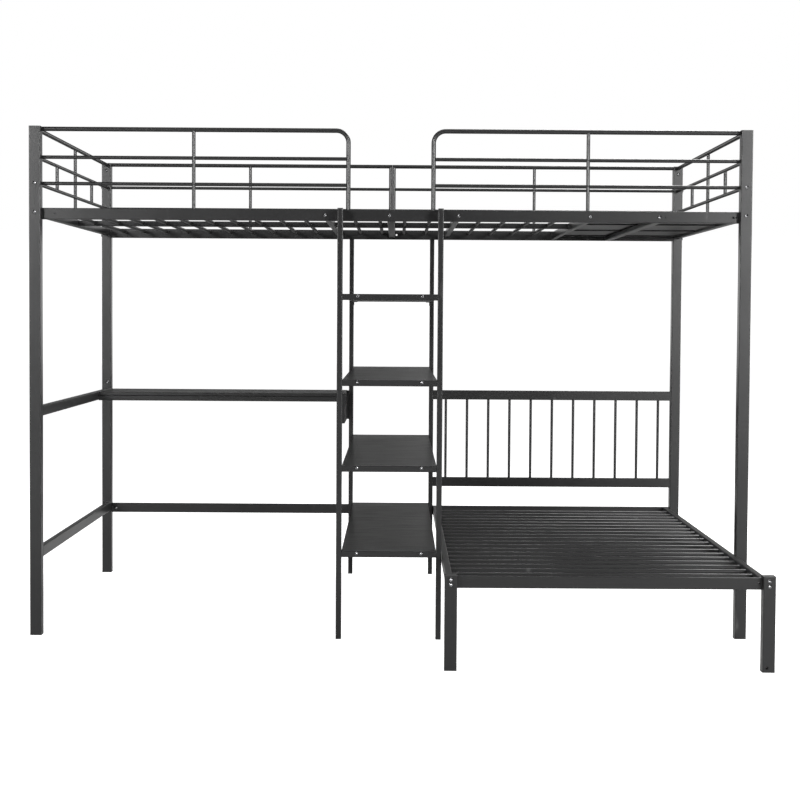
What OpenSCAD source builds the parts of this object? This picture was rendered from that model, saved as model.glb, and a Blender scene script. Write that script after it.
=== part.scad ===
// Metal loft bed with a desk, a shelf ladder and a lower twin bed set at a right angle.
// The loft's left front corner is at X = 0, Y = 0 in every module; at_origin() then moves
// the whole bed so that the middle of its outer box is at the origin and Z = 0 is the floor.

/* [Loft] */
// Overall length of the loft, outside to outside of the posts
loft_l = 2395; // [2300:5:2500]
// Overall depth of the loft, front to back
loft_d = 1420; // [1380:5:1460]
// Height of the corner posts with their caps
loft_h = 1695; // [1660:5:1800]
// Width of the square corner posts and bed legs
post_w = 38; // [36:1:42]
// Top of the loft's side rails above the floor
rail_top = 1426; // [1400:2:1440]
// Height of the side rails
rail_h = 38; // [34:1:44]
// Pitch of the slats along the loft
slat_pitch = 88.9; // [88:0.1:90]

/* [Guards] */
// Diameter of the top guard tube
guard_top_d = 15; // [14:0.5:18]
// Diameter of the lower guard rails and upright bars
guard_bar_d = 12; // [10:0.5:13]
// Length of each front guard, from the post to the middle of its end upright
guard_reach = 1018; // [980:2:1040]
// Bend radius of the front guards' corners, at the middle of the tube
guard_bend = 40; // [30:1:60]

/* [Ladder and shelves] */
// Overall width of the ladder and of the shelf unit
ladder_w = 350; // [340:2:360]
// Height from one rung to the next
rung_pitch = 284; // [280:1:288]
// Height of the underside of the lowest rung
rung_low = 273.5; // [265:0.5:280]
// Thickness of the shelf boards
shelf_t = 15; // [12:1:18]

/* [Desk] */
// Height of the desk's surface
desk_h = 764; // [740:1:780]
// Depth of the desk, front rail to back rail
desk_d = 329; // [300:1:360]
// Height of the desk's steel rails
desk_rail_h = 33; // [28:1:36]

/* [Lower bed] */
// How far the lower bed stands out in front of the loft
bed_out = 533; // [500:1:560]
// Height of the top of the lower bed's rails
bed_top = 286; // [280:1:300]
// Diameter of the lower bed's slats
bed_slat_d = 16; // [14:0.5:18]
// Pitch of the lower bed's slats
bed_slat_pitch = 92.8; // [90:0.2:94]

/* [Hidden] */

eps = 1;
wall = 1.2;
thin = 1.2;
corner_r = 2.4;
steel = [0.20, 0.20, 0.21];
board = [0.13, 0.13, 0.14];
plastic = [0.08, 0.08, 0.08];
zinc = [0.80, 0.80, 0.82];

// Places that follow from the sizes above
rail_d = 16;
rail_in = post_w - rail_d;
rail_z = rail_top - rail_h;
mid_x = loft_l / 2;
front_y = rail_in + rail_d / 2;
back_y = loft_d - front_y;
end_d = 25;
end_x = (post_w - end_d) / 2;
end_top = rail_top - 2;
end_z = end_top - end_d;
bolt_r = 3;
hole_r = 3.5;
weld_gap = 0.05;

// Guard heights
top_z = loft_h - guard_top_d / 2;
second_z = loft_h - 101;
third_z = loft_h - 188;

// Deck
slat_d = 13;
slat_z = rail_top - 11.5;
slat_count = 20;
first_slat = 90.5;
bolted_slats = [10, 15];
beam_w = 20;
beam_y = (loft_d - beam_w) / 2;
beam_z = rail_top - 25;

// Platform at the right-hand end of the deck
platform_x = 1854;
platform_rail_w = 16;
bearer_x = 2075;
bearer_w = 25;
strip_w = 15;
strip_t = 5;
strip_z = rail_top - 22;
board_t = 12;
board_z = strip_z + strip_t;
board_w = 426;
board_gap = 4;
board_y = [54, 54 + board_w + board_gap, 54 + 2 * (board_w + board_gap)];
strip_y = [56, board_y[1] - board_gap / 2, board_y[2] - board_gap / 2, board_y[2] + board_w];

// Ladder and shelves
ladder_t = 18;
ladder_d = 30;
ladder_y = -38;
ladder_top = rail_top + 2;
ladder_x = mid_x - ladder_w / 2;
rung_h = 20.5;
rung_count = 4;
rung_bolt_in = 50;
shelf_post_d = 38;
shelf_y = ladder_y + ladder_d;
inner_w = ladder_w - 2 * ladder_t;
hook_w = 14;
hook_t = 4;

// Desk
desk_rail_d = 16;
desk_y = loft_d - desk_d;
desk_x1 = ladder_x - 11;
desk_board_t = 15;
desk_z = desk_h - desk_rail_h;
desk_lip_h = 13;
desk_side_z = 733;
desk_side_h = 34;
tab_z = desk_side_z + desk_side_h;
bearer_h = desk_rail_h - desk_board_t;
side_rail_w = 20;
side_rail_x = post_w - side_rail_w;
plate_t = 3;
tab_t = 2;
end_hole_y = 820;
tab_bolt_x = 23;
tab_hole_z = tab_z + 25;
low_rail_z = 259.5;
low_rail_h = 36;
lower_back_y = loft_d - rail_d - 14;
lower_back_z = 251;
lower_back_h = 38;
back_bolt_x = 56;
back_bolt_z = lower_back_z + lower_back_h / 2;

// Lower bed
bed_rail_h = 36.5;
bed_z = bed_top - bed_rail_h;
bed_leg_h = bed_top + 7;
bed_leg_x = [1370, loft_l - 60];
bed_rail_w = 20;
bed_rail_x = [bed_leg_x[0] + 4, bed_leg_x[1] - 5];
bed_rail_y = post_w - rail_d - bed_out;
bed_slat_count = 19;
bed_first_slat = -390;
bed_slat_z = bed_top - 14;
leg_hole_x = bed_leg_x[1] + 14;
leg_hole_z = 14;
leg_hole_d = 9;

// Headboard
hb_rail_h = 38;
hb_top = 766.5;
hb_low = 405.5;
hb_bar_d = 10.5;
hb_bar_count = 11;
hb_bar_pitch = 88;
hb_x0 = ladder_x + ladder_w;
hb_x1 = loft_l - post_w;

// Caps
cap_t = 3;
plug_h = 18;

// Bolt heights on the corner posts
end_bolt_z = [third_z, end_z + end_d / 2];
side_bolt_z = rail_z + 9;
tab_bolt_z = loft_h - 31;
rail_bolt_z = rail_z + 19;
bed_bolt_z = [bed_z + 13, bed_z + 29];

module at_origin() {
    translate([-loft_l / 2, (bed_out - loft_d) / 2, 0]) children();
}

module mirror_x() {
    translate([loft_l, 0, 0]) mirror([1, 0, 0]) children();
}

module mirror_y() {
    translate([0, loft_d, 0]) mirror([0, 1, 0]) children();
}

// Rectangular tubes with rounded corners, open at both ends, from their lowest corner
module rounded(w, d, r) {
    translate([r, 0]) square([w - 2 * r, d]);
    translate([0, r]) square([w, d - 2 * r]);
    for (x = [r, w - r], y = [r, d - r])
        translate([x, y]) circle(r = r, $fn = 32);
}

module tube_section(w, d) {
    difference() {
        rounded(w, d, corner_r);
        translate([wall, wall]) rounded(w - 2 * wall, d - 2 * wall, corner_r - wall);
    }
}

module tube_z(w, d, h) {
    linear_extrude(h) tube_section(w, d);
}

module tube_x(l, d, h) {
    rotate([90, 0, 90]) tube_z(d, h, l);
}

module tube_y(w, l, h) {
    translate([0, l, 0]) rotate([90, 0, 0]) tube_z(w, h, l);
}

// Solid and hollow round bars along each axis, from the middle of one end
module rod_z(l, d) {
    cylinder(h = l, d = d, $fn = 48);
}

module rod_x(l, d) {
    rotate([0, 90, 0]) rod_z(l, d);
}

module rod_y(l, d) {
    rotate([-90, 0, 0]) rod_z(l, d);
}

module pipe_z(l, d, t = thin) {
    difference() {
        rod_z(l, d);
        translate([0, 0, -eps]) rod_z(l + 2 * eps, d - 2 * t);
    }
}

module pipe_x(l, d, t = thin) {
    rotate([0, 90, 0]) pipe_z(l, d, t);
}

module pipe_y(l, d, t = thin) {
    rotate([-90, 0, 0]) pipe_z(l, d, t);
}

// Corner posts with clearance holes for their bolts
module post() {
    difference() {
        translate([0, 0, cap_t]) tube_z(post_w, post_w, loft_h - 2 * cap_t);
        for (z = end_bolt_z)
            translate([post_w / 2, -eps, z]) rod_y(post_w + 2 * eps, 2 * hole_r);
        for (z = [side_bolt_z, second_z])
            translate([-eps, front_y, z]) rod_x(post_w + 2 * eps, 2 * hole_r);
    }
}

module back_post() {
    difference() {
        mirror_y() post();
        translate([post_w / 2, loft_d - post_w - eps, tab_bolt_z]) rod_y(wall + 2 * eps, 2 * hole_r);
    }
}

module post_front_left() {
    color(steel) at_origin() post();
}

module post_front_right() {
    color(steel) at_origin() mirror_x() post();
}

module post_back_left() {
    color(steel) at_origin() difference() {
        back_post();
        translate([tab_bolt_x, loft_d - post_w - eps, tab_hole_z]) rod_y(wall + 2 * eps, 2 * hole_r);
    }
}

module post_back_right() {
    color(steel) at_origin() mirror_x() back_post();
}

// Side rails, each one length of tube between the posts, drilled for the cross members
cross_x = [for (k = bolted_slats) first_slat + k * slat_pitch];
centre_w = 25;
centre_bolt_x = mid_x - 3.5;
rail_bolt_x = [cross_x[0], centre_bolt_x, cross_x[1], platform_x + platform_rail_w / 2,
    bearer_x + 17];

module side_rail() {
    difference() {
        translate([post_w, rail_in, rail_z]) tube_x(loft_l - 2 * post_w, rail_d, rail_h);
        for (x = rail_bolt_x)
            translate([x, rail_in - eps, rail_bolt_z]) rod_y(rail_d + 2 * eps, 2 * hole_r);
    }
}

module side_rail_front() {
    spare_x = [81, 2112, loft_l - 49];
    through_x = loft_l - 58;
    color(steel) at_origin()
        difference() {
            side_rail();
            for (x = spare_x)
                translate([x, rail_in - eps, rail_bolt_z]) rod_y(wall + 2 * eps, 5);
            translate([through_x, rail_in - eps, rail_bolt_z]) rod_y(rail_d + 2 * eps, 8);
        }
}

module side_rail_back() {
    through_x = mid_x + 18.5;
    color(steel) at_origin()
        difference() {
            mirror_y() side_rail();
            translate([through_x, loft_d - post_w - eps, rail_bolt_z]) rod_y(rail_d + 2 * eps, 8);
        }
}

module end_rail() {
    difference() {
        translate([end_x, post_w, end_z]) tube_y(end_d, loft_d - 2 * post_w, end_d);
        translate([end_x - eps, end_hole_y, end_z + end_d / 2]) rod_x(end_d + 2 * eps, 8);
    }
}

module end_rail_left() {
    color(steel) at_origin() end_rail();
}

module end_rail_right() {
    color(steel) at_origin() mirror_x() end_rail();
}

// Guard frames: round tubes welded together, each end cut to the tube that it meets
module cope_x(x, y, z, l, d) {
    translate([x, y, z]) rod_x(l, d + 2 * weld_gap);
}

module guard_upright(x, y, d, z0) {
    translate([x, y, z0]) pipe_z(top_z - z0, d);
}

module guard_rails(x0, x1, y) {
    for (z = [second_z, third_z])
        translate([x0, y, z]) pipe_x(x1 - x0, guard_bar_d);
}

module guard_rail_space(x0, x1, y) {
    for (z = [second_z, third_z])
        cope_x(x0, y, z, x1 - x0, guard_bar_d);
}

guard_end = post_w + guard_reach;
guard_bar_x = post_w + guard_reach / 2 - 5;

module front_guard() {
    bend_x = guard_end - guard_bend;
    bend_z = top_z - guard_bend;
    translate([post_w, front_y, top_z]) pipe_x(bend_x - post_w, guard_top_d);
    translate([bend_x, front_y, bend_z]) rotate([90, 0, 0])
        rotate_extrude(angle = 90, $fn = 64) translate([guard_bend, 0]) difference() {
            circle(d = guard_top_d, $fn = 48);
            circle(d = guard_top_d - 2 * thin, $fn = 48);
        }
    translate([guard_end, front_y, rail_top]) pipe_z(bend_z - rail_top, guard_top_d);
    difference() {
        guard_rails(post_w, guard_end, front_y);
        translate([guard_end, front_y, rail_top]) rod_z(loft_h - rail_top, guard_top_d + 2 * weld_gap);
    }
    difference() {
        guard_upright(guard_bar_x, front_y, guard_bar_d, rail_top);
        guard_rail_space(post_w, guard_end, front_y);
        cope_x(post_w, front_y, top_z, bend_x - post_w, guard_top_d);
    }
}

module front_guard_left() {
    color(steel) at_origin() front_guard();
}

module front_guard_right() {
    color(steel) at_origin() mirror_x() front_guard();
}

back_bar_x = 612;
back_upright_d = 13.5;

module back_guard() {
    end_upright = mid_x - 7;
    translate([post_w, back_y, top_z]) pipe_x(end_upright + back_upright_d / 2 - post_w, guard_top_d);
    difference() {
        guard_rails(post_w, end_upright, back_y);
        translate([end_upright, back_y, rail_top])
            rod_z(loft_h - rail_top, back_upright_d + 2 * weld_gap);
    }
    for (upright = [[back_bar_x, guard_bar_d], [end_upright, back_upright_d]])
        difference() {
            guard_upright(upright[0], back_y, upright[1], rail_top);
            cope_x(post_w, back_y, top_z, mid_x - post_w, guard_top_d);
            if (upright[0] == back_bar_x) guard_rail_space(post_w, end_upright, back_y);
        }
}

module back_guard_left() {
    color(steel) at_origin() back_guard();
}

module back_guard_right() {
    color(steel) at_origin() mirror_x() back_guard();
}

// End guards: three rails, one long bar in the middle and two short ones
module cope_y(x, z, d) {
    translate([x, post_w, z]) rod_y(loft_d - 2 * post_w, d + 2 * weld_gap);
}

module end_guard() {
    x = post_w / 2;
    span = loft_d - 2 * post_w;
    translate([x, post_w, top_z]) pipe_y(span, guard_top_d);
    for (z = [second_z, third_z])
        translate([x, post_w, z]) pipe_y(span, guard_bar_d);
    difference() {
        translate([x, loft_d / 2, end_top]) pipe_z(top_z - end_top, guard_bar_d);
        cope_y(x, top_z, guard_top_d);
        for (z = [second_z, third_z])
            cope_y(x, z, guard_bar_d);
    }
    for (y = [post_w + span / 4, post_w + span * 3 / 4])
        difference() {
            translate([x, y, third_z]) pipe_z(second_z - third_z, guard_bar_d);
            for (z = [second_z, third_z])
                cope_y(x, z, guard_bar_d);
        }
}

module end_guard_left() {
    color(steel) at_origin() end_guard();
}

module end_guard_right() {
    color(steel) at_origin() mirror_x() end_guard();
}

// Deck: a middle beam in two lengths, round slats to each side of it and bolted cross bars
module deck_mid_beam() {
    x0 = end_x + end_d;
    x1 = mid_x - centre_w / 2;
    x2 = x1 + centre_w;
    color(steel) at_origin()
        translate([0, beam_y, beam_z]) {
            translate([x0, 0, 0]) tube_x(x1 - x0, beam_w, beam_w);
            translate([x2, 0, 0]) tube_x(platform_x - x2, beam_w, beam_w);
        }
}

module deck_slats() {
    color(steel) at_origin()
        for (k = [0 : slat_count - 1], y = [post_w, beam_y + beam_w])
            if (k != bolted_slats[0] && k != bolted_slats[1])
                translate([first_slat + k * slat_pitch, y, slat_z]) pipe_y(beam_y - post_w, slat_d);
}

module deck_cross_bars() {
    color(steel) at_origin()
        for (x = cross_x, y = [post_w, beam_y + beam_w])
            translate([x - beam_w / 2, y, beam_z]) tube_y(beam_w, beam_y - post_w, beam_w);
}

module deck_centre_bar() {
    color(steel) at_origin()
        translate([mid_x - centre_w / 2, post_w, beam_z - 5])
            tube_y(centre_w, loft_d - 2 * post_w, centre_w);
}

// Platform: a rail at the end of the slats, a bearer and flat strips under three boards
module platform_rail() {
    color(steel) at_origin()
        translate([platform_x, post_w, rail_z + 3])
            tube_y(platform_rail_w, loft_d - 2 * post_w, rail_h - 8);
}

module platform_bearer() {
    color(steel) at_origin()
        translate([bearer_x, post_w, rail_z])
            tube_y(bearer_w, loft_d - 2 * post_w, strip_z - rail_z);
}

platform_x0 = platform_x + platform_rail_w;
platform_x1 = loft_l - end_x - end_d;

module platform_strips() {
    color(steel) at_origin()
        for (y = strip_y)
            translate([platform_x0, y - strip_w / 2, strip_z])
                cube([platform_x1 - platform_x0, strip_w, strip_t]);
}

module platform_board(k) {
    color(board) at_origin()
        translate([platform_x0 + 1, board_y[k], board_z])
            cube([platform_x1 - platform_x0 - 2, board_w, board_t]);
}

module platform_board_front() {
    platform_board(0);
}

module platform_board_middle() {
    platform_board(1);
}

module platform_board_back() {
    platform_board(2);
}

// Ladder posts stand in front of the side rail and hook over it
module ladder_post(x) {
    color(steel) at_origin()
        translate([x, ladder_y, cap_t]) tube_z(ladder_t, ladder_d, ladder_top - 2 * cap_t);
}

module ladder_post_left() {
    ladder_post(ladder_x);
}

module ladder_post_right() {
    ladder_post(ladder_x + ladder_w - ladder_t);
}

function rung_z(k) = rung_low + k * rung_pitch;
rung_bolt_x = [mid_x - inner_w / 2 + rung_bolt_in, mid_x + inner_w / 2 - rung_bolt_in];

module ladder_rungs() {
    color(steel) at_origin()
        for (k = [0 : rung_count - 1])
            difference() {
                translate([ladder_x + ladder_t, ladder_y, rung_z(k)]) tube_x(inner_w, ladder_d, rung_h);
                for (x = rung_bolt_x)
                    translate([x, ladder_y - eps, rung_z(k) + rung_h - shelf_t / 2])
                        rod_y(ladder_d + 2 * eps, 2 * hole_r);
            }
}

module ladder_hooks() {
    reach = post_w + hook_t - shelf_y;
    color(steel) at_origin()
        for (x = [ladder_x + (ladder_t - hook_w) / 2, ladder_x + ladder_w - (ladder_t + hook_w) / 2])
            translate([x, 0, 0]) {
                translate([0, shelf_y, rail_top]) cube([hook_w, reach, hook_t]);
                translate([0, post_w, rail_top - 30]) cube([hook_w, hook_t, 30]);
                translate([0, shelf_y, rail_top - 60]) cube([hook_w, hook_t, 60]);
            }
}

// Back posts of the shelf unit reach up to the back side rail
module shelf_post(x) {
    color(steel) at_origin()
        translate([x, loft_d - shelf_post_d, cap_t]) tube_z(ladder_t, shelf_post_d, rail_z - cap_t);
}

module shelf_post_left() {
    shelf_post(ladder_x);
}

module shelf_post_right() {
    shelf_post(ladder_x + ladder_w - ladder_t);
}

module shelf_brackets() {
    leg = 15;
    color(steel) at_origin()
        for (k = [0 : rung_count - 1], side = [0, 1]) {
            z = rung_z(k) + rung_h - shelf_t;
            x = ladder_x + ladder_t + side * (inner_w - leg);
            translate([x, loft_d - leg - 10, z - tab_t]) cube([leg, leg, tab_t]);
            translate([x + side * (leg - tab_t), loft_d - leg - 10, z - leg]) cube([tab_t, leg, leg - tab_t]);
        }
}

// Shelf boards run from the rungs to between the back posts
module shelf(k) {
    z = rung_z(k) + rung_h - shelf_t;
    color(board) at_origin()
        difference() {
            translate([ladder_x + ladder_t, shelf_y, z]) cube([inner_w, loft_d - shelf_y, shelf_t]);
            for (x = rung_bolt_x)
                translate([x, shelf_y - eps, z + shelf_t / 2]) rod_y(20 + eps, 2 * bolt_r);
        }
}

module shelf_1() {
    shelf(0);
}

module shelf_2() {
    shelf(1);
}

module shelf_3() {
    shelf(2);
}

module shelf_4() {
    shelf(3);
}

// Desk frame: a front and a back rail, bearers between them and a board let in flush
module desk_front_rail() {
    lip_z = desk_h - desk_lip_h;
    color(steel) at_origin() {
        translate([post_w, desk_y, desk_z])
            tube_x(desk_x1 - post_w, desk_rail_d, lip_z - weld_gap - desk_z);
        translate([post_w, desk_y, lip_z]) tube_x(desk_x1 - post_w, desk_rail_d, desk_lip_h);
    }
}

module desk_back_rail() {
    color(steel) at_origin()
        translate([post_w, loft_d - desk_rail_d, desk_z])
            tube_x(desk_x1 - post_w, desk_rail_d, desk_rail_h);
}

module desk_bearers() {
    count = 4;
    inset = 60;
    step = (desk_x1 - post_w - 2 * inset) / (count - 1);
    color(steel) at_origin()
        for (k = [0 : count - 1])
            translate([post_w + inset + k * step - side_rail_w / 2, desk_y + desk_rail_d, desk_z])
                tube_y(side_rail_w, desk_d - 2 * desk_rail_d, bearer_h);
}

module desk_top() {
    gap = 0.5;
    color(board) at_origin()
        translate([post_w + gap, desk_y + desk_rail_d + gap, desk_h - desk_board_t])
            cube([desk_x1 - post_w - 2 * gap, desk_d - 2 * (desk_rail_d + gap), desk_board_t]);
}

// Folded plate at the desk's right end: a flange in front with a rounded-off ear, and a
// narrow leg behind that is held by the shelf unit's back post
module desk_end_bracket() {
    drop = 86;
    flange = 14.5;
    ear = 6.5;
    ear_drop = 29;
    low = desk_z - drop;
    color(steel) at_origin() {
        translate([desk_x1, desk_y, low]) cube([plate_t, desk_d, desk_h - low]);
        translate([desk_x1 + plate_t, loft_d - shelf_post_d, low])
            cube([ladder_x - desk_x1 - plate_t, plate_t, desk_h - low]);
        translate([desk_x1 + plate_t, desk_y, 0]) rotate([90, 0, 0])
            linear_extrude(plate_t)
                polygon([[ear, desk_h], [-flange, desk_h], [-flange, low], [0, low],
                    [0, desk_z - ear_drop], [ear, desk_z]]);
    }
}

// Upright tab on the left side rail, bolted to the back post
module desk_corner_tab() {
    tab_w = 18;
    tab_h = 38;
    color(steel) at_origin()
        difference() {
            translate([post_w - tab_w - 4, loft_d - post_w - tab_t, tab_z]) cube([tab_w, tab_t, tab_h]);
            translate([tab_bolt_x, loft_d - post_w - tab_t - eps, tab_hole_z])
                rod_y(tab_t + 2 * eps, 2 * hole_r);
        }
}

module left_rail(z, h) {
    color(steel) at_origin()
        translate([side_rail_x, post_w, z]) tube_y(side_rail_w, loft_d - 2 * post_w, h);
}

module desk_side_rail() {
    left_rail(desk_side_z, desk_side_h);
}

module lower_side_rail() {
    left_rail(low_rail_z, low_rail_h);
}

module lower_back_rail() {
    color(steel) at_origin()
        difference() {
            translate([post_w, lower_back_y, lower_back_z]) tube_x(ladder_x - post_w, rail_d, lower_back_h);
            translate([back_bolt_x, lower_back_y - eps, back_bolt_z])
                rod_y(wall + 2 * eps, 2 * hole_r);
        }
}

// Headboard between the shelf unit and the back right post
module headboard_rails() {
    color(steel) at_origin()
        for (z = [hb_top - hb_rail_h, hb_low - hb_rail_h])
            translate([hb_x0, loft_d - post_w, z]) tube_x(hb_x1 - hb_x0, rail_d, hb_rail_h);
}

module headboard_bars() {
    first = (hb_x0 + hb_x1 - (hb_bar_count - 1) * hb_bar_pitch) / 2;
    color(steel) at_origin()
        for (k = [0 : hb_bar_count - 1])
            translate([first + k * hb_bar_pitch, loft_d - post_w + rail_d / 2, hb_low])
                pipe_z(hb_top - hb_rail_h - hb_low, hb_bar_d, 1);
}

// Lower bed
module bed_leg(x) {
    color(steel) at_origin()
        difference() {
            translate([x, -bed_out, cap_t]) tube_z(post_w, post_w, bed_leg_h - 2 * cap_t);
            for (z = bed_bolt_z)
                translate([x + post_w / 2, -bed_out - eps, z]) rod_y(post_w + 2 * eps, 2 * hole_r);
            translate([leg_hole_x, -bed_out - eps, leg_hole_z]) rod_y(post_w + 2 * eps, leg_hole_d);
        }
}

module bed_leg_left() {
    bed_leg(bed_leg_x[0]);
}

module bed_leg_right() {
    bed_leg(bed_leg_x[1]);
}

module bed_foot_rail() {
    x0 = bed_leg_x[0] + post_w;
    color(steel) at_origin()
        difference() {
            translate([x0, bed_rail_y, bed_z]) tube_x(bed_leg_x[1] - x0, rail_d, bed_rail_h);
            translate([bed_leg_x[1] - 9, bed_rail_y - eps, bed_z + 21]) rod_y(rail_d + 2 * eps, 8);
        }
}

module bed_side_rail(x) {
    y0 = post_w - bed_out;
    color(steel) at_origin()
        translate([x, y0, bed_z]) tube_y(bed_rail_w, loft_d - post_w - y0, bed_rail_h);
}

module bed_side_rail_left() {
    bed_side_rail(bed_rail_x[0]);
}

module bed_side_rail_right() {
    bed_side_rail(bed_rail_x[1]);
}

module bed_head_rail() {
    color(steel) at_origin()
        translate([hb_x0, loft_d - post_w, bed_z]) tube_x(hb_x1 - hb_x0, rail_d, bed_rail_h);
}

module bed_slats() {
    x0 = bed_rail_x[0] + bed_rail_w;
    color(steel) at_origin()
        for (k = [0 : bed_slat_count - 1])
            translate([x0, bed_first_slat + k * bed_slat_pitch, bed_slat_z])
                pipe_x(bed_rail_x[1] - x0, bed_slat_d);
}

// A plastic cap: a plate as wide as the tube and a plug that fits inside it
module cap(w, d) {
    play = wall + 0.1;
    linear_extrude(cap_t) rounded(w, d, corner_r);
    translate([play, play, cap_t])
        linear_extrude(plug_h) rounded(w - 2 * play, d - 2 * play, corner_r - wall);
}

module top_cap(w, d, h) {
    translate([0, 0, h]) mirror([0, 0, 1]) cap(w, d);
}

module top_caps() {
    color(plastic) at_origin() {
        for (x = [0, loft_l - post_w], y = [0, loft_d - post_w])
            translate([x, y, 0]) top_cap(post_w, post_w, loft_h);
        for (x = bed_leg_x)
            translate([x, -bed_out, 0]) top_cap(post_w, post_w, bed_leg_h);
        for (x = [ladder_x, ladder_x + ladder_w - ladder_t])
            translate([x, ladder_y, 0]) top_cap(ladder_t, ladder_d, ladder_top);
    }
}

module foot_caps() {
    color(plastic) at_origin() {
        for (x = [0, loft_l - post_w], y = [0, loft_d - post_w])
            translate([x, y, 0]) cap(post_w, post_w);
        for (x = [ladder_x, ladder_x + ladder_w - ladder_t]) {
            translate([x, ladder_y, 0]) cap(ladder_t, ladder_d);
            translate([x, loft_d - shelf_post_d, 0]) cap(ladder_t, shelf_post_d);
        }
        difference() {
            for (x = bed_leg_x)
                translate([x, -bed_out, 0]) cap(post_w, post_w);
            translate([leg_hole_x, -bed_out - eps, leg_hole_z]) rod_y(post_w + 2 * eps, leg_hole_d);
        }
    }
}

// Button-head bolts with a hexagon socket, along +Y from the face that they sit on
head_d = 13;
head_h = 4;
socket_w = 4;
socket_d = 2.2;

module bolt(l) {
    dome_r = (head_d * head_d / 4 + head_h * head_h) / (2 * head_h);
    rod_y(l, 2 * bolt_r);
    difference() {
        intersection() {
            translate([0, dome_r - head_h, 0]) sphere(r = dome_r, $fn = 64);
            translate([0, -head_h, 0]) rod_y(head_h, head_d);
        }
        translate([0, -head_h - eps, 0]) rotate([-90, 0, 0])
            cylinder(h = socket_d + eps, d = socket_w / cos(30), $fn = 6);
    }
}

module corner_bolts() {
    for (z = end_bolt_z)
        translate([post_w / 2, 0, z]) bolt(post_w + 12);
    for (z = [side_bolt_z, second_z])
        translate([0, front_y, z]) rotate([0, 0, -90]) bolt(post_w + 12);
}

module post_bolts() {
    color(zinc) at_origin() {
        corner_bolts();
        mirror_x() corner_bolts();
        mirror_y() corner_bolts();
        mirror_x() mirror_y() corner_bolts();
        for (x = [post_w / 2, loft_l - post_w / 2])
            translate([x, loft_d - post_w, tab_bolt_z]) bolt(10);
    }
}

module rail_bolts() {
    color(zinc) at_origin()
        for (x = rail_bolt_x) {
            translate([x, rail_in, rail_bolt_z]) bolt(rail_d + 4);
            mirror_y() translate([x, rail_in, rail_bolt_z]) bolt(rail_d + 4);
        }
}

module ladder_bolts() {
    color(zinc) at_origin()
        for (k = [0 : rung_count - 1], x = rung_bolt_x)
            translate([x, ladder_y, rung_z(k) + rung_h - shelf_t / 2]) bolt(ladder_d + 18);
}

module bed_bolts() {
    color(zinc) at_origin() {
        for (x = bed_leg_x, z = bed_bolt_z)
            translate([x + post_w / 2, -bed_out, z]) bolt(post_w - 2 * wall);
        translate([tab_bolt_x, loft_d - post_w - tab_t, tab_hole_z]) bolt(12);
        translate([back_bolt_x, lower_back_y, back_bolt_z]) bolt(10);
    }
}

post_front_left();
post_back_left();
post_front_right();
post_back_right();
side_rail_front();
side_rail_back();
end_rail_left();
end_rail_right();
front_guard_left();
front_guard_right();
back_guard_left();
back_guard_right();
end_guard_left();
end_guard_right();
deck_mid_beam();
deck_slats();
deck_cross_bars();
deck_centre_bar();
platform_rail();
platform_bearer();
platform_strips();
platform_board_front();
platform_board_middle();
platform_board_back();
ladder_post_left();
ladder_post_right();
ladder_rungs();
ladder_hooks();
shelf_post_left();
shelf_post_right();
shelf_brackets();
shelf_1();
shelf_2();
shelf_3();
shelf_4();
desk_front_rail();
desk_back_rail();
desk_bearers();
desk_top();
desk_end_bracket();
desk_corner_tab();
desk_side_rail();
lower_side_rail();
lower_back_rail();
headboard_rails();
headboard_bars();
bed_leg_left();
bed_leg_right();
bed_foot_rail();
bed_side_rail_left();
bed_side_rail_right();
bed_head_rail();
bed_slats();
top_caps();
foot_caps();
post_bolts();
rail_bolts();
ladder_bolts();
bed_bolts();
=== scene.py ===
import math

import bpy
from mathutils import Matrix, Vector

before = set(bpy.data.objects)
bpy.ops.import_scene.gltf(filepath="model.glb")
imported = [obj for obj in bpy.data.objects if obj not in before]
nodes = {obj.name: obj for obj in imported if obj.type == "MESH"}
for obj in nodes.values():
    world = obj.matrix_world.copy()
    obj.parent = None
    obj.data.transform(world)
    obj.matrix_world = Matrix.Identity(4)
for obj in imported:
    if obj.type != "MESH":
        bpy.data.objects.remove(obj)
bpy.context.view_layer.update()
bpy.ops.object.select_all(action="DESELECT")


# Corner posts: square steel tube with rounded corners, drilled for the rail bolts, then
# sprayed with black powder and baked. The powder melts to a satin skin with a fine orange
# peel, clouded where it lies thicker, with a few scuffs and a little dust from handling.
def added(tree, kind, **values):
    made = tree.nodes.new(kind)
    for key, value in values.items():
        setattr(made, key, value)
    return made


def noise(tree, place, scale, detail, stretch=(1.0, 1.0, 1.0)):
    turned = added(tree, "ShaderNodeMapping")
    turned.inputs["Scale"].default_value = stretch
    made = added(tree, "ShaderNodeTexNoise")
    made.inputs["Scale"].default_value = scale
    made.inputs["Detail"].default_value = detail
    tree.links.new(place.outputs["Object"], turned.inputs["Vector"])
    tree.links.new(turned.outputs["Vector"], made.inputs["Vector"])
    return made


def between(tree, value, low, high):
    made = added(tree, "ShaderNodeMapRange", interpolation_type="SMOOTHSTEP")
    made.inputs["From Min"].default_value = low
    made.inputs["From Max"].default_value = high
    tree.links.new(value, made.inputs["Value"])
    return made.outputs["Result"]


def scaled(tree, value, amount):
    made = added(tree, "ShaderNodeMath", operation="MULTIPLY")
    made.inputs[1].default_value = amount
    tree.links.new(value, made.inputs[0])
    return made.outputs["Value"]


def summed(tree, first, second):
    made = added(tree, "ShaderNodeMath", operation="ADD")
    tree.links.new(first, made.inputs[0])
    tree.links.new(second, made.inputs[1])
    return made.outputs["Value"]


def mixed(tree, factor, first, second):
    made = added(tree, "ShaderNodeMix", data_type="RGBA")
    for socket, given in (("Factor", factor), ("A", first), ("B", second)):
        if isinstance(given, tuple):
            made.inputs[socket].default_value = (*given, 1.0)
        else:
            tree.links.new(given, made.inputs[socket])
    return made.outputs["Result"]


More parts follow.
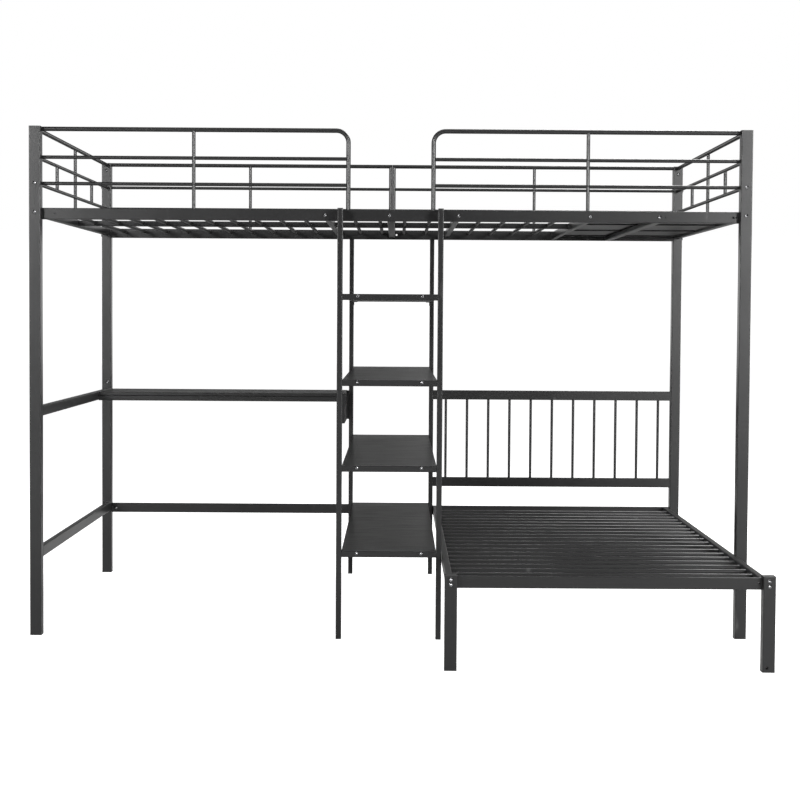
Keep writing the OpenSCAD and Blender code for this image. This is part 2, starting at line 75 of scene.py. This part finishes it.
def group(name, inputs, outputs):
    tree = bpy.data.node_groups.new(name, "ShaderNodeTree")
    for title, kind, value in inputs:
        socket = tree.interface.new_socket(title, in_out="INPUT", socket_type=kind)
        socket.default_value = value
    for title, kind in outputs:
        tree.interface.new_socket(title, in_out="OUTPUT", socket_type=kind)
    return tree, added(tree, "NodeGroupInput"), added(tree, "NodeGroupOutput")


NUMBER = "NodeSocketFloat"
COLOUR = "NodeSocketColor"


def make_baked_powder():
    tree, given, out = group("baked_powder",
        [("Thin", COLOUR, (0.01, 0.01, 0.01, 1.0)), ("Thick", COLOUR, (0.02, 0.02, 0.02, 1.0)),
         ("Scuff", COLOUR, (0.06, 0.06, 0.06, 1.0)), ("Rough", NUMBER, 0.3), ("Spread", NUMBER, 0.06)],
        [("Colour", COLOUR), ("Roughness", NUMBER), ("Height", NUMBER)])
    place = added(tree, "ShaderNodeTexCoord")
    clouds = noise(tree, place, 5.0, 4.0).outputs["Fac"]
    peel = noise(tree, place, 750.0, 2.0).outputs["Fac"]
    ripple = noise(tree, place, 60.0, 3.0).outputs["Fac"]
    grit = noise(tree, place, 2600.0, 1.0).outputs["Fac"]
    scuff = between(tree, noise(tree, place, 22.0, 8.0, (1.0, 1.0, 0.35)).outputs["Fac"], 0.66, 0.78)
    coat = mixed(tree, clouds, given.outputs["Thin"], given.outputs["Thick"])
    tree.links.new(mixed(tree, scaled(tree, scuff, 0.55), coat, given.outputs["Scuff"]),
        out.inputs["Colour"])
    spread = added(tree, "ShaderNodeMath", operation="MULTIPLY_ADD")
    tree.links.new(summed(tree, clouds, scaled(tree, scuff, 0.8)), spread.inputs[0])
    tree.links.new(given.outputs["Spread"], spread.inputs[1])
    tree.links.new(given.outputs["Rough"], spread.inputs[2])
    tree.links.new(spread.outputs["Value"], out.inputs["Roughness"])
    relief = summed(tree, summed(tree, peel, scaled(tree, grit, 0.25)), scaled(tree, ripple, 1.4))
    tree.links.new(relief, out.inputs["Height"])
    return tree


baked_powder = make_baked_powder()


def bumped(tree, shader, height, strength, depth):
    bump = added(tree, "ShaderNodeBump")
    bump.inputs["Strength"].default_value = strength
    bump.inputs["Distance"].default_value = depth
    tree.links.new(height, bump.inputs["Height"])
    tree.links.new(bump.outputs["Normal"], shader.inputs["Normal"])


def powder_coat(name, thin, thick, rough, spread=0.06):
    coat = bpy.data.materials.new(name)
    coat.use_nodes = True
    tree = coat.node_tree
    shader = tree.nodes["Principled BSDF"]
    shader.inputs["IOR"].default_value = 1.5
    powder = added(tree, "ShaderNodeGroup", node_tree=baked_powder)
    powder.inputs["Thin"].default_value = (*thin, 1.0)
    powder.inputs["Thick"].default_value = (*thick, 1.0)
    powder.inputs["Rough"].default_value = rough
    powder.inputs["Spread"].default_value = spread
    tree.links.new(powder.outputs["Colour"], shader.inputs["Base Color"])
    tree.links.new(powder.outputs["Roughness"], shader.inputs["Roughness"])
    bumped(tree, shader, powder.outputs["Height"], 0.35, 0.00006)
    return coat


def dress(material, *names):
    for name in names:
        for place in nodes[name].material_slots:
            place.material = material


post_powder = powder_coat("black_powder_on_posts", (0.0060, 0.0060, 0.0062),
    (0.0092, 0.0092, 0.0095), 0.27)
dress(post_powder, "post_front_left", "post_back_left", "post_front_right", "post_back_right")


# Caps: moulded black plastic, pushed into the tubes' ends. Their edges are rounded by the
# mould, and the faces carry its fine spark-eroded grain.
joined_within = 0.00001
sharp_edge = math.radians(50.0)
cap_round = 0.0009


def softened(name, width, rings=3):
    piece = nodes[name]
    weld = piece.modifiers.new("joined", "WELD")
    weld.merge_threshold = joined_within
    round_edges = piece.modifiers.new("rounded", "BEVEL")
    round_edges.width = width
    round_edges.segments = rings
    round_edges.limit_method = "ANGLE"
    round_edges.angle_limit = sharp_edge


def moulded(name, colour, rough):
    plastic = bpy.data.materials.new(name)
    plastic.use_nodes = True
    tree = plastic.node_tree
    shader = tree.nodes["Principled BSDF"]
    shader.inputs["IOR"].default_value = 1.49
    place = added(tree, "ShaderNodeTexCoord")
    shade = noise(tree, place, 40.0, 3.0).outputs["Fac"]
    grain = noise(tree, place, 1800.0, 2.0).outputs["Fac"]
    pale = tuple(value * 1.6 for value in colour)
    tree.links.new(mixed(tree, shade, colour, pale), shader.inputs["Base Color"])
    roughness = summed(tree, scaled(tree, grain, 0.15), scaled(tree, shade, 0.1))
    level = added(tree, "ShaderNodeMath", operation="ADD")
    level.inputs[1].default_value = rough
    tree.links.new(roughness, level.inputs[0])
    tree.links.new(level.outputs["Value"], shader.inputs["Roughness"])
    bumped(tree, shader, grain, 0.3, 0.00005)
    return plastic


cap_plastic = moulded("black_cap_plastic", (0.012, 0.012, 0.012), 0.35)
for name in ("top_caps", "foot_caps"):
    dress(cap_plastic, name)
    softened(name, cap_round)


# Side rails, end rails and the guards: rectangular and round tube, cut, coped and welded
# into frames, then bolted to the posts. They hang in the coating line lengthwise, so the
# powder on them is a little more even than on the posts.
rail_powder = powder_coat("black_powder_on_rails", (0.0060, 0.0060, 0.0062),
    (0.0088, 0.0088, 0.0091), 0.27, 0.05)
dress(rail_powder, "side_rail_front", "side_rail_back", "end_rail_left", "end_rail_right")
tube_powder = powder_coat("black_powder_on_tubes", (0.0062, 0.0062, 0.0064),
    (0.0092, 0.0092, 0.0095), 0.26, 0.05)
guards = ("front_guard_left", "front_guard_right", "back_guard_left", "back_guard_right",
          "end_guard_left", "end_guard_right")
dress(tube_powder, *guards)

# Deck: round steel slats in two halves, welded to a middle beam and carried by the side
# rails, with flat cross bars and a centre bar bolted on to hold the rails together.
dress(tube_powder, "deck_slats")
dress(rail_powder, "deck_mid_beam", "deck_cross_bars", "deck_centre_bar")

# Platform at the right-hand end of the deck: a rail, a bearer and flat steel strips carry
# three particle boards, faced with black printed paper that has a faint wood figure. The
# figure is pressed lightly into the face, and it is a little duller where the pores are.
dress(rail_powder, "platform_rail", "platform_bearer", "platform_strips")


def make_wood_print():
    tree, given, out = group("wood_print",
        [("Ground", COLOUR, (0.01, 0.01, 0.01, 1.0)), ("Streak", COLOUR, (0.03, 0.03, 0.03, 1.0)),
         ("Along X", NUMBER, 1.0), ("Along Y", NUMBER, 1.0)],
        [("Colour", COLOUR), ("Roughness", NUMBER), ("Height", NUMBER)])
    place = added(tree, "ShaderNodeTexCoord")
    stretch = added(tree, "ShaderNodeCombineXYZ")
    stretch.inputs["Z"].default_value = 1.0
    tree.links.new(given.outputs["Along X"], stretch.inputs["X"])
    tree.links.new(given.outputs["Along Y"], stretch.inputs["Y"])
    laid = added(tree, "ShaderNodeVectorMath", operation="MULTIPLY")
    tree.links.new(place.outputs["Object"], laid.inputs[0])
    tree.links.new(stretch.outputs["Vector"], laid.inputs[1])

    def layer(scale, detail, waver=0.0):
        made = added(tree, "ShaderNodeTexNoise")
        made.inputs["Scale"].default_value = scale
        made.inputs["Detail"].default_value = detail
        made.inputs["Distortion"].default_value = waver
        tree.links.new(laid.outputs["Vector"], made.inputs["Vector"])
        return made.outputs["Fac"]

    figure = between(tree, layer(7.0, 6.0, 0.6), 0.38, 0.68)
    pores = between(tree, layer(90.0, 3.0), 0.52, 0.62)
    tone = summed(tree, scaled(tree, figure, 0.7), scaled(tree, pores, 0.3))
    tree.links.new(mixed(tree, tone, given.outputs["Ground"], given.outputs["Streak"]),
        out.inputs["Colour"])
    rough = added(tree, "ShaderNodeMapRange")
    rough.inputs["To Min"].default_value = 0.30
    rough.inputs["To Max"].default_value = 0.42
    tree.links.new(tone, rough.inputs["Value"])
    tree.links.new(rough.outputs["Result"], out.inputs["Roughness"])
    tree.links.new(summed(tree, pores, scaled(tree, figure, 0.4)), out.inputs["Height"])
    return tree


wood_print = make_wood_print()


def faced_board(name, along_x, along_y, ground, streak):
    board = bpy.data.materials.new(name)
    board.use_nodes = True
    tree = board.node_tree
    shader = tree.nodes["Principled BSDF"]
    shader.inputs["IOR"].default_value = 1.45
    face = added(tree, "ShaderNodeGroup", node_tree=wood_print)
    face.inputs["Ground"].default_value = (*ground, 1.0)
    face.inputs["Streak"].default_value = (*streak, 1.0)
    face.inputs["Along X"].default_value = along_x
    face.inputs["Along Y"].default_value = along_y
    tree.links.new(face.outputs["Colour"], shader.inputs["Base Color"])
    tree.links.new(face.outputs["Roughness"], shader.inputs["Roughness"])
    bumped(tree, shader, face.outputs["Height"], 0.4, 0.00008)
    return board


board_round = 0.0012
desk_board_round = 0.0010
cross_grain = faced_board("black_board_grain_across", 1.0, 9.0, (0.007, 0.007, 0.0072),
    (0.016, 0.016, 0.0162))
for name in ("platform_board_front", "platform_board_middle", "platform_board_back"):
    dress(cross_grain, name)
    softened(name, board_round)

# Ladder: two flat-sided steel posts with four rungs bolted between them, and two hooks
# of folded strip that hang it over the side rail. It is coated like the rails.
dress(rail_powder, "ladder_post_left", "ladder_post_right", "ladder_rungs", "ladder_hooks")

# Shelf unit behind the ladder: four faced boards run from the rungs to two steel posts
# at the back, where small folded brackets carry them. The cut edges are slightly rounded.
dress(rail_powder, "shelf_post_left", "shelf_post_right", "shelf_brackets")
for name in ("shelf_1", "shelf_2", "shelf_3", "shelf_4"):
    dress(cross_grain, name)
    softened(name, board_round)

# Desk: a steel frame with a faced board let in flush. A folded bracket holds it to the
# shelf unit at one end, and a rail with an upright tab bolts to the back post at the other.
dress(rail_powder, "desk_front_rail", "desk_back_rail", "desk_bearers", "desk_end_bracket",
    "desk_corner_tab",
      "desk_side_rail", "lower_side_rail", "lower_back_rail")
dress(cross_grain, "desk_top")
softened("desk_top", desk_board_round)

# Headboard and lower bed: steel rails with round bars welded between them, and a bed frame
# on two legs in front with nineteen round slats, bolted to the loft's posts behind.
dress(rail_powder, "headboard_rails", "bed_foot_rail", "bed_side_rail_left", "bed_side_rail_right",
    "bed_head_rail")
dress(tube_powder, "headboard_bars", "bed_slats")
dress(post_powder, "bed_leg_left", "bed_leg_right")


# Bolts: button heads with a hexagon socket, turned from steel wire and zinc plated, driven
# with a key that leaves fine rubbed arcs round the socket.
def plated_steel(name):
    steel = bpy.data.materials.new(name)
    steel.use_nodes = True
    tree = steel.node_tree
    shader = tree.nodes["Principled BSDF"]
    shader.inputs["Metallic"].default_value = 1.0
    place = added(tree, "ShaderNodeTexCoord")
    haze = noise(tree, place, 160.0, 4.0).outputs["Fac"]
    lines = noise(tree, place, 1500.0, 2.0, (1.0, 0.25, 1.0)).outputs["Fac"]
    tree.links.new(mixed(tree, haze, (0.20, 0.20, 0.205), (0.40, 0.40, 0.41)),
        shader.inputs["Base Color"])
    rough = summed(tree, scaled(tree, haze, 0.22), scaled(tree, lines, 0.12))
    level = added(tree, "ShaderNodeMath", operation="ADD")
    level.inputs[1].default_value = 0.06
    tree.links.new(rough, level.inputs[0])
    tree.links.new(level.outputs["Value"], shader.inputs["Roughness"])
    bumped(tree, shader, lines, 0.25, 0.00003)
    return steel


bolt_steel = plated_steel("zinc_plated_steel")
dress(bolt_steel, "post_bolts", "rail_bolts", "ladder_bolts", "bed_bolts")

# Studio: a white paper floor, a soft light to either side in front, a higher pair, and one
# overhead. The walls behind glow near the floor and are dark above.
floor_size = 60.0
bpy.ops.mesh.primitive_plane_add(size=floor_size, location=(0.0, 0.0, 0.0))
floor = bpy.context.object
floor.name = "floor"
paper = bpy.data.materials.new("white_paper")
paper.use_nodes = True
paper_shader = paper.node_tree.nodes["Principled BSDF"]
paper_shader.inputs["Base Color"].default_value = (0.6, 0.6, 0.6, 1.0)
paper_shader.inputs["Roughness"].default_value = 0.9
paper_shader.inputs["Specular IOR Level"].default_value = 0.0
paper_shader.inputs["Emission Color"].default_value = (1.0, 1.0, 1.0, 1.0)
paper_rays = added(paper.node_tree, "ShaderNodeLightPath")
paper_glow = scaled(paper.node_tree, paper_rays.outputs["Is Camera Ray"], 1.0)
paper.node_tree.links.new(paper_glow, paper_shader.inputs["Emission Strength"])
floor.data.materials.append(paper)

world = bpy.data.worlds.new("studio")
bpy.context.scene.world = world
world.use_nodes = True
room = world.node_tree
backdrop = room.nodes["Background"]
backdrop.inputs["Color"].default_value = (1.0, 1.0, 1.0, 1.0)
heading = added(room, "ShaderNodeTexCoord")
axes = added(room, "ShaderNodeSeparateXYZ")
room.links.new(heading.outputs["Generated"], axes.inputs["Vector"])
behind = between(room, axes.outputs["Y"], -0.3, 0.3)
wall = added(room, "ShaderNodeMapRange", interpolation_type="SMOOTHSTEP")
wall.inputs["From Min"].default_value = 0.02
wall.inputs["From Max"].default_value = 0.16
wall.inputs["To Min"].default_value = 1.1
wall.inputs["To Max"].default_value = 0.04
room.links.new(axes.outputs["Z"], wall.inputs["Value"])
front_wall = 0.03
around = added(room, "ShaderNodeMix")
room.links.new(behind, around.inputs["Factor"])
around.inputs["A"].default_value = front_wall
room.links.new(wall.outputs["Result"], around.inputs["B"])
rays = added(room, "ShaderNodeLightPath")
seen = added(room, "ShaderNodeMath", operation="MAXIMUM")
room.links.new(around.outputs["Result"], seen.inputs[0])
room.links.new(rays.outputs["Is Camera Ray"], seen.inputs[1])
room.links.new(seen.outputs["Value"], backdrop.inputs["Strength"])
bpy.context.scene.view_settings.view_transform = "Standard"


def soft_light(name, place, aim, width, height, power):
    bpy.ops.object.light_add(type="AREA", location=place)
    light = bpy.context.object
    light.name = name
    light.data.shape = "RECTANGLE"
    light.data.size = width
    light.data.size_y = height
    light.data.energy = power
    light.rotation_euler = (Vector(aim) - Vector(place)).to_track_quat("-Z", "Y").to_euler()


soft_light("left_soft", (-5.0, -8.0, 1.9), (0.0, 0.0, 1.2), 2.0, 1.6, 165.0)
soft_light("right_soft", (5.0, -8.0, 1.9), (0.0, 0.0, 1.2), 2.0, 1.6, 370.0)
soft_light("left_high", (-5.2, -8.0, 3.6), (0.0, 0.0, 1.2), 2.2, 1.6, 600.0)
soft_light("right_high", (5.2, -8.0, 3.6), (0.0, 0.0, 1.2), 2.2, 1.6, 500.0)
soft_light("overhead", (0.3, -1.6, 5.0), (0.3, 0.0, 0.0), 4.0, 3.0, 50.0)
soft_light("rear_high", (2.2, 2.6, 4.2), (0.6, 0.2, 0.3), 3.0, 2.0, 220.0)

# Camera: straight in front of the ladder, a little over a metre up and six metres away,
# with the view shifted down slightly so that the posts stay nearly upright.
bpy.ops.object.camera_add(location=(0.02552, -6.06354, 1.07866))
camera = bpy.context.object
camera.name = "camera"
camera.rotation_euler = (math.radians(87.6175), math.radians(-0.3533), math.radians(-0.0998))
camera.data.lens = 76.14
camera.data.shift_x = -0.0009
camera.data.shift_y = -0.0188
camera.data.sensor_width = 36.0
bpy.context.scene.camera = camera
